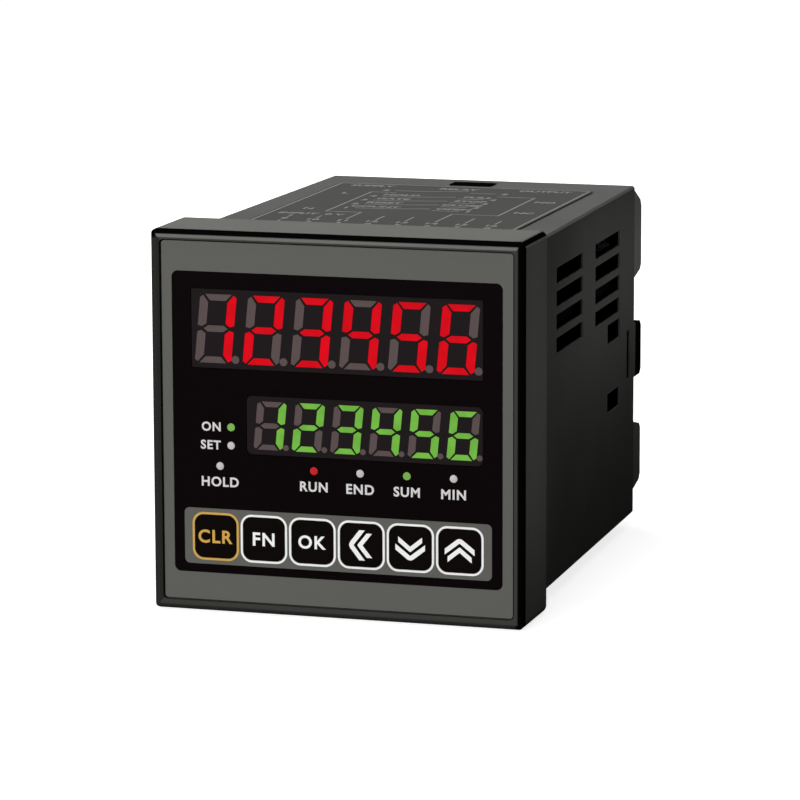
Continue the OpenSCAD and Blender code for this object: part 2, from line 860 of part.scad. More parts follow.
module output_relay() {
    color("royalblue") translate([relay_x, relay_y, tongue_z]) linear_extrude(relay_h)
        round_rect(relay_w, relay_d, 1);
}

// A can with a crimped neck and a vented top
module supply_capacitor() {
    color("midnightblue") translate([can_x, can_y, board_t - tongue_z]) rotate_extrude() polygon([
        [0, 0],
        [can_r, 0],
        [can_r, neck_z],
        [can_r - neck_d, neck_z + neck_h / 2],
        [can_r, neck_z + neck_h],
        [can_r, can_h - can_vent],
        [can_r - can_vent, can_h],
        [0, can_h]
    ]);
}

module controller_chip() {
    color("black") translate([chip_x, chip_y, tongue_z]) linear_extrude(chip_t)
        round_rect(chip_w, chip_w, 0.5);
}

case();
terminal_base();
terminal_bars();
clamp_plates();
terminal_screws();
front_panel();
display_window();
key_strip();
upper_display();
upper_lit();
upper_unlit();
lower_display();
lower_lit();
lower_unlit();
for (i = [0:len(LEDS) - 1]) led(i);
for (i = key_ids) key(i);
for (i = key_ids) plunger(i);
for (i = key_ids) switch_body(i);
front_board();
board_screws();
upper_board();
lower_board();
board_connectors();
transformer_core();
transformer_coil();
output_relay();
supply_capacitor();
controller_chip();
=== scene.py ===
from math import atan2, cos, pi, radians, sin

import bpy
from mathutils import Euler, Matrix, Vector


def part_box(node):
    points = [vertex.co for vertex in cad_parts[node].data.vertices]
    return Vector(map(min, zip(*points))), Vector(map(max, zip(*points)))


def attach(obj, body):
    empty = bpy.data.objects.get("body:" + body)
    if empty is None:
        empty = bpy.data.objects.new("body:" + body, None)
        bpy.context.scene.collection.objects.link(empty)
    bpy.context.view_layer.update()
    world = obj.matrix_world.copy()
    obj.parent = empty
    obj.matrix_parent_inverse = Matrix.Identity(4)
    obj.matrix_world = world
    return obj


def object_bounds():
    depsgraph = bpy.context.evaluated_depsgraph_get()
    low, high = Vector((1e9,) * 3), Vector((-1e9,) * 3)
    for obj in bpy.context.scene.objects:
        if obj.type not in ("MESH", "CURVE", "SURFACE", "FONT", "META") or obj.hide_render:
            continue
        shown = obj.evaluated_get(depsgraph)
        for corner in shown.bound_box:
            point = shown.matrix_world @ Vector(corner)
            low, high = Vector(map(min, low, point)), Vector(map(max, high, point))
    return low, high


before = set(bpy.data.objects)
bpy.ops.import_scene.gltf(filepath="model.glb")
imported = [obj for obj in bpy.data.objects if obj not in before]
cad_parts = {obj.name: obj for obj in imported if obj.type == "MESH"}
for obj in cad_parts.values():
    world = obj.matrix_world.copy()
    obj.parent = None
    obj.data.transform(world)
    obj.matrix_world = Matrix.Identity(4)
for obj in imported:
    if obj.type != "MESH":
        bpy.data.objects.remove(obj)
cad_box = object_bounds()


# Camera: the counter is seen from its front right and a little above, through a long lens
# from about 0.8 m, which is how a catalogue photograph of such a part is taken.
MM = 0.001
VIEW_TURN = radians(16.822)
VIEW_RISE = radians(10.129)
VIEW_ROLL = radians(-0.185)
VIEW_DISTANCE = 812.5 * MM
VIEW_TARGET = Vector((7.596, 0, 3.023)) * MM
LENS_MM = 195.49
SENSOR_MM = 36
NEAREST = 10 * MM

toward_camera = Vector((sin(VIEW_TURN) * cos(VIEW_RISE),
                        -cos(VIEW_TURN) * cos(VIEW_RISE),
                        sin(VIEW_RISE)))
bpy.ops.object.camera_add(location=VIEW_TARGET + toward_camera * VIEW_DISTANCE)
camera = bpy.context.object
aim = Euler((pi / 2 - VIEW_RISE, 0, VIEW_TURN)).to_matrix() @ Matrix.Rotation(VIEW_ROLL, 3, "Z")
camera.rotation_euler = aim.to_euler()
camera.data.lens = LENS_MM
camera.data.sensor_width = SENSOR_MM
camera.data.clip_start = NEAREST
bpy.context.scene.camera = camera


# Case: one moulding of charcoal plastic, a square bezel in front and a tapered tube behind it.
# The eroded tool leaves a fine matt grain. The bezel is painted paler than the tube as painted light, and
# its rim is darker, with painted shade on its left side and a painted highlight line along its top.
# The bezel's upper and right edges are painted black and its left and lower edges dark grey, as a painted
# dark reflection. The walls of the openings and the latch tongues are painted near black as painted
# shade.
CASE_COLOUR = (100, 100, 98)
# The bezel's colour is painted light; the rim's left colour is painted shade and its line colour a
# painted highlight.
BEZEL_PAINTED_LIGHT_COLOUR = (114, 114, 111)
RIM_COLOUR = (64, 64, 62)
RIM_LEFT_SHADE_COLOUR = (42, 42, 40)
RIM_HIGHLIGHT_COLOUR = (114, 114, 111)
# Painted dark reflection on the bezel's edges: black on the upper and right ones, dark grey on the
# others.
EDGE_DARK_REFLECTION_COLOUR = (6, 5, 5)
EDGE_SOFT_REFLECTION_COLOUR = (46, 46, 44)
# Painted shade in the openings, on the latch tongues and on the terminal base inside the case.
CASE_INSIDE_SHADE_COLOUR = (9, 9, 9)
CASE_GRAIN = 3200
CASE_PATCHES = 60
BEZEL_SPREAD = 0.05
CASE_HALF = 33.8 * MM
CASE_TAPER = 1.8 / 84
CASE_REAR = 83.7 * MM
CASE_SKIN = (0.25 * MM, 0.45 * MM)
BEZEL_BACK = (-0.3 * MM, -0.1 * MM)
TUBE_FRONT = (0.1 * MM, 0.3 * MM)
RIM_BACK = -15.2 * MM
# The height from which the rim's top carries its painted highlight line.
RIM_HIGHLIGHT_LEVEL = 34.45 * MM
LATCH_FRONT = 85.2 * MM
# The width over which one tone passes into the next.
TONE_JOIN = 0.1 * MM
# Bands of painted dark reflection along the bezel's edges. Their box is deeper than the bezel, so its
# rear edges have none.
BEZEL_CENTRE = (0, 4 * MM, 0)
BEZEL_HALF = (36 * MM, 20 * MM, 36 * MM)
BAND_LEVEL = 1.1 * MM
BAND_UPRIGHT = 1.4 * MM
BAND_DEPTH = 1.0 * MM
BAND_SOLID = 0.8
DARK_REFLECTION_START = 34.1 * MM
DARK_REFLECTION_FADE = 0.4 * MM
# Nearly all values of a Noise texture lie in this range. A tone is made of wide patches and fine grain.
NOISE_RANGE = (0.3, 0.7)
WIDE_SHARE = 0.6
FINE_SHARE = 0.4


def ink(red, green, blue):
    """A colour as it is read off a screen, from 0 to 255, as the linear values that the nodes take."""
    def linear(value):
        value = value / 255
        return value / 12.92 if value <= 0.04045 else ((value + 0.055) / 1.055) ** 2.4
    return (linear(red), linear(green), linear(blue), 1)


def shade(colour, factor):
    """The same colour, lighter or darker."""
    return tuple(min(channel * factor, 1) for channel in colour[:3]) + (1,)


def shader_group(name, inputs, outputs):
    """An empty shader node group with named sockets, and its input and output nodes."""
    group = bpy.data.node_groups.new(name, "ShaderNodeTree")
    for label, kind, value in inputs:
        socket = group.interface.new_socket(label, in_out="INPUT", socket_type=kind)
        if value is not None:
            socket.default_value = value
    for label, kind in outputs:
        group.interface.new_socket(label, in_out="OUTPUT", socket_type=kind)
    return group, group.nodes.new("NodeGroupInput"), group.nodes.new("NodeGroupOutput")


def math_node(tree, operation, first, second=None):
    """A Math node whose inputs are sockets or numbers; gives its output socket."""
    node = tree.nodes.new("ShaderNodeMath")
    node.operation = operation
    for slot, value in enumerate((first, second)):
        if value is None:
            continue
        if isinstance(value, (int, float)):
            node.inputs[slot].default_value = value
        else:
            tree.links.new(value, node.inputs[slot])
    return node.outputs[0]


def range_node(tree, value, low, high, to_low=0, to_high=1):
    """A clamped Map Range node; gives its output socket."""
    node = tree.nodes.new("ShaderNodeMapRange")
    tree.links.new(value, node.inputs["Value"])
    for label, number in (("From Min", low), ("From Max", high), ("To Min", to_low), ("To Max", to_high)):
        if isinstance(number, (int, float)):
            node.inputs[label].default_value = number
        else:
            tree.links.new(number, node.inputs[label])
    return node.outputs["Result"]


def noise_node(tree, vector, scale, detail):
    """A Noise texture on the given coordinates; gives its value."""
    node = tree.nodes.new("ShaderNodeTexNoise")
    node.inputs["Detail"].default_value = detail
    tree.links.new(vector, node.inputs["Vector"])
    if isinstance(scale, (int, float)):
        node.inputs["Scale"].default_value = scale
    else:
        tree.links.new(scale, node.inputs["Scale"])
    return node.outputs["Fac"]


# Fine grain for the bump, and wide soft patches that vary the tone and the gloss.
moulded_grain, inlet, outlet = shader_group(
    "moulded_grain",
    [("Vector", "NodeSocketVector", None), ("Grain", "NodeSocketFloat", 3000.0),
     ("Patches", "NodeSocketFloat", 60.0)],
    [("Tone", "NodeSocketFloat"), ("Height", "NodeSocketFloat")])
fine = noise_node(moulded_grain, inlet.outputs["Vector"], inlet.outputs["Grain"], detail=2)
wide = noise_node(moulded_grain, inlet.outputs["Vector"], inlet.outputs["Patches"], detail=3)
mixed = math_node(moulded_grain, "ADD", math_node(moulded_grain, "MULTIPLY", wide, WIDE_SHARE),
                  math_node(moulded_grain, "MULTIPLY", fine, FINE_SHARE))
moulded_grain.links.new(range_node(moulded_grain, mixed, *NOISE_RANGE), outlet.inputs["Tone"])
moulded_grain.links.new(fine, outlet.inputs["Height"])

# Bands along the edges of a box, where the painted reflection lies: level front edges, upright front
# edges and the edges that run back.
edge_reflection_bands, inlet, outlet = shader_group(
    "edge_reflection_bands",
    [("Vector", "NodeSocketVector", None), ("Centre", "NodeSocketVector", (0, 0, 0)),
     ("Half", "NodeSocketVector", (1, 1, 1)), ("Level", "NodeSocketFloat", 0.001),
     ("Upright", "NodeSocketFloat", 0.001), ("Depth", "NodeSocketFloat", 0.001)],
    [("Mask", "NodeSocketFloat")])


def vector_node(tree, operation, first, second=None):
    """A Vector Math node; gives its output socket."""
    node = tree.nodes.new("ShaderNodeVectorMath")
    node.operation = operation
    tree.links.new(first, node.inputs[0])
    if second is not None:
        tree.links.new(second, node.inputs[1])
    return node.outputs["Vector"]


from_centre = vector_node(edge_reflection_bands, "SUBTRACT", inlet.outputs["Vector"], inlet.outputs["Centre"])
below_face = vector_node(edge_reflection_bands, "SUBTRACT", inlet.outputs["Half"],
                         vector_node(edge_reflection_bands, "ABSOLUTE", from_centre))
split = edge_reflection_bands.nodes.new("ShaderNodeSeparateXYZ")
edge_reflection_bands.links.new(below_face, split.inputs[0])
bands = []
for first, second, width in (("Y", "Z", "Level"), ("X", "Y", "Upright"), ("X", "Z", "Depth")):
    inward = math_node(edge_reflection_bands, "MAXIMUM", split.outputs[first], split.outputs[second])
    soft_end = math_node(edge_reflection_bands, "MULTIPLY", inlet.outputs[width], BAND_SOLID)
    bands.append(range_node(edge_reflection_bands, inward, soft_end, inlet.outputs[width], 1, 0))
front_bands = math_node(edge_reflection_bands, "MAXIMUM", bands[0], bands[1])
edge_reflection_bands.links.new(math_node(edge_reflection_bands, "MAXIMUM", front_bands, bands[2]), outlet.inputs["Mask"])


def blank_material(name):
    """A new material with its Principled shader and an Object coordinate socket."""
    material = bpy.data.materials.new(name)
    material.use_nodes = True
    tree = material.node_tree
    shader = tree.nodes["Principled BSDF"]
    place = tree.nodes.new("ShaderNodeTexCoord").outputs["Object"]
    return material, tree, shader, place


def mix_colour(tree, factor, first, second):
    """A colour Mix node between two colours or sockets; gives its output socket."""
    node = tree.nodes.new("ShaderNodeMix")
    node.data_type = "RGBA"
    tree.links.new(factor, node.inputs[0])
    for slot, value in ((6, first), (7, second)):
        if isinstance(value, tuple):
            node.inputs[slot].default_value = value
        else:
            tree.links.new(value, node.inputs[slot])
    return node.outputs[2]


def add_bump(tree, shader, height, depth):
    """Bump of the given depth in metres on the shader's normal."""
    bump = tree.nodes.new("ShaderNodeBump")
    bump.inputs["Distance"].default_value = depth
    tree.links.new(height, bump.inputs["Height"])
    tree.links.new(bump.outputs["Normal"], shader.inputs["Normal"])


def grained_tint(tree, tone, colour, spread):
    """A colour that goes a little darker and lighter with the grain's tone; gives its socket."""
    return mix_colour(tree, tone, shade(ink(*colour), 1 - spread), shade(ink(*colour), 1 + spread))


def moulding(name, colour, grain, patches, spread, depth, gloss, specular):
    """Moulded or printed plastic: grained, with a slight change of tone and gloss over the surface."""
    material, tree, shader, place = blank_material(name)
    grained = tree.nodes.new("ShaderNodeGroup")
    grained.node_tree = moulded_grain
    tree.links.new(place, grained.inputs["Vector"])
    grained.inputs["Grain"].default_value = grain
    grained.inputs["Patches"].default_value = patches
    tone = grained.outputs["Tone"]
    tint = grained_tint(tree, tone, colour, spread)
    tree.links.new(tint, shader.inputs["Base Color"])
    tree.links.new(range_node(tree, tone, 0, 1, *gloss), shader.inputs["Roughness"])
    shader.inputs["Specular IOR Level"].default_value = specular
    add_bump(tree, shader, grained.outputs["Height"], depth)
    return material, tree, shader, place, tone, tint


def dress(material, *names):
    """Gives CAD nodes a material in all their slots."""
    for name in names:
        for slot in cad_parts[name].material_slots:
            slot.material = material


case_plastic, tree, shader, place, tone, tint = moulding(
    "case_plastic", CASE_COLOUR, grain=CASE_GRAIN, patches=CASE_PATCHES, spread=0.07, depth=0.012 * MM,
    gloss=(0.5, 0.62), specular=0)
axes = tree.nodes.new("ShaderNodeSeparateXYZ")
tree.links.new(place, axes.inputs[0])
sideways, backward, upward = axes.outputs
across = math_node(tree, "ABSOLUTE", sideways)
above = math_node(tree, "ABSOLUTE", upward)

# The bezel, painted paler as painted light, and its rim, with painted shade on its left side and a
# painted highlight line along the top.
painted_light_on_bezel = range_node(tree, backward, *BEZEL_BACK, 1, 0)
tint = mix_colour(tree, painted_light_on_bezel, tint, grained_tint(tree, tone, BEZEL_PAINTED_LIGHT_COLOUR, BEZEL_SPREAD))
rim_tint = grained_tint(tree, tone, RIM_COLOUR, BEZEL_SPREAD)
left_shade_tint = grained_tint(tree, tone, RIM_LEFT_SHADE_COLOUR, BEZEL_SPREAD)
highlight_tint = grained_tint(tree, tone, RIM_HIGHLIGHT_COLOUR, BEZEL_SPREAD)
on_highlight = range_node(tree, upward, RIM_HIGHLIGHT_LEVEL - TONE_JOIN, RIM_HIGHLIGHT_LEVEL)
level_tint = mix_colour(tree, on_highlight, rim_tint, highlight_tint)
on_right = range_node(tree, sideways, -TONE_JOIN / 2, TONE_JOIN / 2)
upright_tint = mix_colour(tree, on_right, left_shade_tint, rim_tint)
upright = range_node(tree, math_node(tree, "SUBTRACT", across, above), -TONE_JOIN / 2, TONE_JOIN / 2)
on_rim = range_node(tree, backward, RIM_BACK - TONE_JOIN, RIM_BACK, 1, 0)
tint = mix_colour(tree, on_rim, tint, mix_colour(tree, upright, level_tint, upright_tint))

# The painted dark reflection in bands along the bezel's edges: black on the upper and right edges, dark
# grey on the others.
edges = tree.nodes.new("ShaderNodeGroup")
edges.node_tree = edge_reflection_bands
tree.links.new(place, edges.inputs["Vector"])
for label, value in (("Centre", BEZEL_CENTRE), ("Half", BEZEL_HALF), ("Level", BAND_LEVEL),
                     ("Upright", BAND_UPRIGHT), ("Depth", BAND_DEPTH)):
    edges.inputs[label].default_value = value
near_top = range_node(tree, upward, DARK_REFLECTION_START, DARK_REFLECTION_START + DARK_REFLECTION_FADE)
near_right = range_node(tree, sideways, DARK_REFLECTION_START, DARK_REFLECTION_START + DARK_REFLECTION_FADE)
dark_reflection = math_node(tree, "MAXIMUM", near_top, near_right)
edge_reflection_tint = mix_colour(tree, dark_reflection, ink(*EDGE_SOFT_REFLECTION_COLOUR), ink(*EDGE_DARK_REFLECTION_COLOUR))
tint = mix_colour(tree, edges.outputs["Mask"], tint, edge_reflection_tint)

# Painted shade: the walls of the openings, which lie under the tube's skin, and the latch tongues are
# painted near black.
half_width = math_node(tree, "SUBTRACT", CASE_HALF, math_node(tree, "MULTIPLY", backward, CASE_TAPER))
under_side = math_node(tree, "SUBTRACT", half_width, across)
under_top = math_node(tree, "SUBTRACT", CASE_HALF, above)
under_skin = range_node(tree, math_node(tree, "MINIMUM", under_side, under_top), *CASE_SKIN)
behind_bezel = range_node(tree, backward, *TUBE_FRONT)
before_rear = range_node(tree, backward, CASE_REAR, CASE_REAR + TONE_JOIN, 1, 0)
inside = math_node(tree, "MULTIPLY", under_skin, math_node(tree, "MULTIPLY", behind_bezel, before_rear))
latch_shade = range_node(tree, backward, LATCH_FRONT, LATCH_FRONT + 2 * TONE_JOIN)
inside = math_node(tree, "MAXIMUM", inside, latch_shade)
tree.links.new(mix_colour(tree, inside, tint, ink(*CASE_INSIDE_SHADE_COLOUR)), shader.inputs["Base Color"])
dress(case_plastic, "case")


# Terminal base: a moulded cover that snaps into the case's rear, with two rows of barriers.
# It is a paler grey plastic than the case, from a tool with a slightly coarser grain.
base_plastic, tree, shader, place, _, tint = moulding(
    "base_plastic", (130, 130, 127), grain=2600, patches=80, spread=0.08, depth=0.014 * MM,
    gloss=(0.45, 0.6), specular=0)
axes = tree.nodes.new("ShaderNodeSeparateXYZ")
tree.links.new(place, axes.inputs[0])
# Painted shade: where the base lies inside the case it is painted near black.
shade_in_case = range_node(tree, axes.outputs["Y"], CASE_REAR, CASE_REAR + TONE_JOIN, 1, 0)
tree.links.new(mix_colour(tree, shade_in_case, tint, ink(*CASE_INSIDE_SHADE_COLOUR)), shader.inputs["Base Color"])
dress(base_plastic, "terminal_base")


# Terminal contacts, clamp plates and screws: stamped brass, and zinc-plated steel.
# Each screw presses a square clamp plate on the wire, and the plating shows handling marks.
METAL_MARKS = 900
MARK_STRETCH = (1, 0.25, 1)
DULL_PATCHES = 220
DULL_RANGE = (0.4, 0.65)


def metal(name, colour, worn, gloss):
    """Plated metal with fine drawn marks and duller patches."""
    material, tree, shader, place = blank_material(name)
    stretch = tree.nodes.new("ShaderNodeMapping")
    stretch.inputs["Scale"].default_value = MARK_STRETCH
    tree.links.new(place, stretch.inputs["Vector"])
    marks = noise_node(tree, stretch.outputs["Vector"], METAL_MARKS, detail=4)
    dull = range_node(tree, noise_node(tree, place, DULL_PATCHES, detail=3), *DULL_RANGE)
    tree.links.new(mix_colour(tree, dull, ink(*colour), ink(*worn)), shader.inputs["Base Color"])
    tree.links.new(range_node(tree, marks, *NOISE_RANGE, *gloss), shader.inputs["Roughness"])
    shader.inputs["Metallic"].default_value = 1
    add_bump(tree, shader, marks, depth=0.01 * MM)
    return material


brass = metal("brass", (214, 178, 96), worn=(176, 138, 74), gloss=(0.22, 0.42))
zinc_plate = metal("zinc_plate", (196, 198, 202), worn=(160, 163, 168), gloss=(0.2, 0.4))
dress(brass, "terminal_bars")
dress(zinc_plate, "clamp_plates", "terminal_screws", "board_screws")


# Circuit boards: fibre laminate under a black resist, with the copper tracks showing as paler lines.
# The upper and lower board slide in rails of the case, and the front board is screwed to posts.
RESIST_COLOURS = ((7, 12, 9), (8, 14, 11))
TRACK_COLOUR = (16, 26, 21)

board_resist, tree, shader, place = blank_material("board_resist")
tracks = tree.nodes.new("ShaderNodeTexBrick")
tracks.offset = 0.35
tracks.inputs["Scale"].default_value = 180
tracks.inputs["Mortar Size"].default_value = 0.03
tracks.inputs["Color1"].default_value = ink(*RESIST_COLOURS[0])
tracks.inputs["Color2"].default_value = ink(*RESIST_COLOURS[1])
tracks.inputs["Mortar"].default_value = ink(*TRACK_COLOUR)
tree.links.new(place, tracks.inputs["Vector"])
tree.links.new(tracks.outputs["Color"], shader.inputs["Base Color"])
shader.inputs["Roughness"].default_value = 0.6
shader.inputs["Specular IOR Level"].default_value = 0
add_bump(tree, shader, tracks.outputs["Fac"], depth=0.02 * MM)
dress(board_resist, "front_board", "upper_board", "lower_board")


# Parts on the boards: a transformer of sheets, painted near black as painted shade, with its taped
# winding, a relay in a black
# cover, a sleeved capacitor, a controller chip and the sockets that join the boards.


def layered(name, direction, layers, waver, colours, roughness, specular, depth):
    """Sheets or turns that lie one on another: fine bands that waver a little."""
    material, tree, shader, place = blank_material(name)
    bands = tree.nodes.new("ShaderNodeTexWave")
    bands.bands_direction = direction
    bands.inputs["Scale"].default_value = layers
    bands.inputs["Distortion"].default_value = waver
    tree.links.new(place, bands.inputs["Vector"])
    tint = mix_colour(tree, bands.outputs["Fac"], ink(*colours[0]), ink(*colours[1]))
    tree.links.new(tint, shader.inputs["Base Color"])
    shader.inputs["Roughness"].default_value = roughness
    shader.inputs["Specular IOR Level"].default_value = specular
    add_bump(tree, shader, bands.outputs["Fac"], depth)
    return material


# The core's sheets are painted near black as painted shade, so that the core shows only as dark inside
# the vents.
core_painted_shade = layered("core_painted_shade", "Y", layers=320, waver=0.4, colours=((22, 23, 25), (54, 55, 58)),
                       roughness=0.5, specular=0, depth=0.05 * MM)
coil_tape = layered("coil_tape", "Z", layers=420, waver=0.6, colours=((150, 104, 28), (216, 170, 60)),
                    roughness=0.4, specular=0.5, depth=0.08 * MM)
relay_cover, *_ = moulding("relay_cover", (15, 17, 22), grain=1500, patches=90, spread=0.06,
                           depth=0.004 * MM, gloss=(0.4, 0.5), specular=0)
can_sleeve, *_ = moulding("can_sleeve", (13, 14, 20), grain=1200, patches=70, spread=0.1,
                          depth=0.006 * MM, gloss=(0.4, 0.5), specular=0)
chip_resin, *_ = moulding("chip_resin", (20, 20, 21), grain=4200, patches=160, spread=0.12,
                          depth=0.01 * MM, gloss=(0.5, 0.65), specular=0)
dress(core_painted_shade, "transformer_core")
dress(coil_tape, "transformer_coil")
dress(relay_cover, "output_relay")
dress(can_sleeve, "supply_capacitor")
dress(chip_resin, "controller_chip", "board_connectors")


# Switches: small square push switches on the front board, each with a pale plunger.
# They are moulded in a dull grey, and the plunger is joined to the key above it.
KEYS = range(1, 7)

switch_body, *_ = moulding("switch_body", (70, 70, 72), grain=2600, patches=120, spread=0.08,
                           depth=0.01 * MM, gloss=(0.45, 0.55), specular=0.3)
plunger_body, *_ = moulding("plunger_body", (214, 208, 190), grain=2600, patches=120, spread=0.04,
                            depth=0.008 * MM, gloss=(0.35, 0.5), specular=0.4)
dress(switch_body, *[f"switch_{i}" for i in KEYS])
dress(plunger_body, *[f"plunger_{i}" for i in KEYS])


# Front panel and key strip: grey plates with a satin printed face and a very fine stipple.
# The panel drops into the bezel's rim, and the strip fills the foot of the window.
panel_print, *_ = moulding("panel_print", (96, 96, 92), grain=5200, patches=45, spread=0.03,
                           depth=0.006 * MM, gloss=(0.42, 0.55), specular=0.12)
dress(panel_print, "front_panel", "key_strip")


# Window: a smoked plate, black where nothing is lit, with cut-outs for displays and indicators.
# Its face is polished, and carries only faint wiping marks in the gloss.
window_plate, *_ = moulding("window_plate", (9, 4, 5), grain=900, patches=40, spread=0.12,
                            depth=0.0008 * MM, gloss=(0.12, 0.24), specular=0.015)
dress(window_plate, "display_window")


# Displays: two modules of six digits, cast in dark resin, with the strokes as light guides.
# A lit stroke glows nearly evenly, with slight clouds, and an unlit one shows its milky filler.
DISPLAY_GRAIN = 2400
GLOW_CLOUDS = 420
CLOUD_RANGE = (0.35, 0.65)
GLOW_SPREAD = (0.92, 1.06)
RESIN_SHARE = (0.08, 0.12)
GLOW_STRENGTH = 0.92

display_resin, *_ = moulding("display_resin", (25, 20, 21), grain=DISPLAY_GRAIN, patches=90, spread=0.06,
                             depth=0.003 * MM, gloss=(0.4, 0.55), specular=0.06)
stroke_filler, *_ = moulding("stroke_filler", (91, 78, 78), grain=DISPLAY_GRAIN, patches=140, spread=0.05,
                             depth=0.004 * MM, gloss=(0.4, 0.55), specular=0.1)
dress(display_resin, "upper_display", "lower_display")
dress(stroke_filler, "upper_unlit", "lower_unlit")


def glowing(name, colour):
    """A lit light guide: milky resin that gives off its own colour, with a slight cloudiness."""
    material, tree, shader, place = blank_material(name)
    cloud = range_node(tree, noise_node(tree, place, GLOW_CLOUDS, detail=2), *CLOUD_RANGE)
    glow = mix_colour(tree, cloud, *[shade(ink(*colour), factor) for factor in GLOW_SPREAD])
    resin = mix_colour(tree, cloud, *[shade(ink(*colour), factor) for factor in RESIN_SHARE])
    tree.links.new(resin, shader.inputs["Base Color"])
    tree.links.new(glow, shader.inputs["Emission Color"])
    shader.inputs["Emission Strength"].default_value = GLOW_STRENGTH
    shader.inputs["Roughness"].default_value = 0.45
    shader.inputs["Specular IOR Level"].default_value = 0.05
    return material


dress(glowing("red_glow", (214, 10, 26)), "upper_lit")
dress(glowing("green_glow", (112, 178, 68)), "lower_lit")


# Indicators: domed light guides that stand on the front board and show through the window.
# Two are lit green and one red; the others show their clear grey resin.
lens_resin, *_ = moulding("lens_resin", (204, 201, 201), grain=1800, patches=200, spread=0.05,
                          depth=0.004 * MM, gloss=(0.25, 0.4), specular=0.3)
dress(lens_resin, "led_preset", "led_lock", "led_batch", "led_timer")
dress(glowing("green_lamp", (122, 172, 82)), "led_power", "led_count")
dress(glowing("red_lamp", (190, 36, 44)), "led_out")


# Key tops: black satin caps, sprung, each over its own switch.
# They stand a little proud of the strip, and the finger's rub leaves softer gloss in patches.
key_satin, *_ = moulding("key_satin", (9, 6, 5), grain=3800, patches=180, spread=0.15,
                         depth=0.004 * MM, gloss=(0.38, 0.55), specular=0.02)
dress(key_satin, *[f"key_{i}" for i in KEYS])


# Printed rings round the keys: screen-printed ink on the strip, gold round the first key and white
# round the others. Each ring is a thin raised film with round corners.
INK_FILM = 0.03 * MM
INK_TOOTH = 5200
INK_PATCHES = 700
INK_SPREAD = (0.95, 1.02)
RING_OUTER = 9.1 * MM
RING_WIDTH = 0.41 * MM
RING_CORNER = 2.15 * MM
FACING_FRONT = (pi / 2, 0, 0)


def printed(name, colour):
    """Screen ink: flat and even, with the mesh of the screen as a slight tooth."""
    material, tree, shader, place = blank_material(name)
    tooth = noise_node(tree, place, INK_TOOTH, detail=2)
    cover = range_node(tree, noise_node(tree, place, INK_PATCHES, detail=3), *NOISE_RANGE)
    tint = mix_colour(tree, cover, *[shade(ink(*colour), factor) for factor in INK_SPREAD])
    tree.links.new(tint, shader.inputs["Base Color"])
    shader.inputs["Roughness"].default_value = 0.55
    shader.inputs["Specular IOR Level"].default_value = 0.2
    add_bump(tree, shader, tooth, depth=0.004 * MM)
    return material


white_ink = printed("white_ink", (254, 254, 252))
gold_ink = printed("gold_ink", (216, 171, 84))


def start_clean():
    """Leaves nothing selected, so that the next operators act on the new piece alone."""
    bpy.ops.object.select_all(action="DESELECT")


def apply_modifier(piece, kind, **settings):
    """Adds a modifier with these settings and applies it."""
    modifier = piece.modifiers.new(kind.lower(), kind)
    for label, value in settings.items():
        setattr(modifier, label, value)
    bpy.ops.object.modifier_apply(modifier=modifier.name)


def settle():
    """Puts the place, turn and size of the selected piece in its mesh."""
    bpy.ops.object.transform_apply(location=True, rotation=True, scale=True)


def placed_copy(piece, move, turn=(0, 0, 0)):
    """A copy of a piece with its own mesh, turned about the origin and moved."""
    start_clean()
    piece.select_set(True)
    bpy.context.view_layer.objects.active = piece
    bpy.ops.object.duplicate(linked=False)
    copy = bpy.context.object
    copy.rotation_euler = turn
    copy.location = move
    settle()
    return copy


def hand_over(piece, name, material, body):
    """Names a finished piece and fixes it to its body."""
    piece.name = name
    piece.data.name = name
    piece.data.materials.clear()
    piece.data.materials.append(material)
    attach(piece, body)


def middle(node):
    """The middle of a CAD node's box."""
    low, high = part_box(node)
    return (low + high) / 2


first_key = middle("key_1")
start_clean()
bpy.ops.mesh.primitive_plane_add(size=RING_OUTER, rotation=FACING_FRONT,
                                 location=(first_key.x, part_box("key_strip")[0].y, first_key.z))
first_ring = bpy.context.object
settle()
bpy.ops.object.mode_set(mode="EDIT")
bpy.ops.mesh.select_all(action="SELECT")
bpy.ops.mesh.bevel(offset=RING_CORNER, segments=10, affect="VERTICES")
bpy.ops.mesh.inset(thickness=RING_WIDTH)
bpy.ops.mesh.delete(type="FACE")
bpy.ops.object.mode_set(mode="OBJECT")
apply_modifier(first_ring, "SOLIDIFY", thickness=INK_FILM, offset=1)
for i in KEYS[1:]:
    ring = placed_copy(first_ring, middle(f"key_{i}") - first_key)
    hand_over(ring, f"key_ring_{i}", white_ink, "housing")
hand_over(first_ring, "key_ring_1", gold_ink, "housing")


# Key legends: a word on the first three keys, and double chevrons left, down and up on the others.
# They are printed on the key tops, so each moves with its own key.
KEY_WORDS = {1: "CLR", 2: "FN", 3: "OK"}
KEY_CAP_HEIGHT = 2.55 * MM
KEY_BOLD = 0.025
KEY_SPACING = 1.15
CHEVRON_TURNS = {4: -pi / 2, 5: pi, 6: 0}
POINT_MERGE = 0.001 * MM
TEXT_MERGE = 0.003 * MM
NEAR_MIDDLE = 0.01 * MM


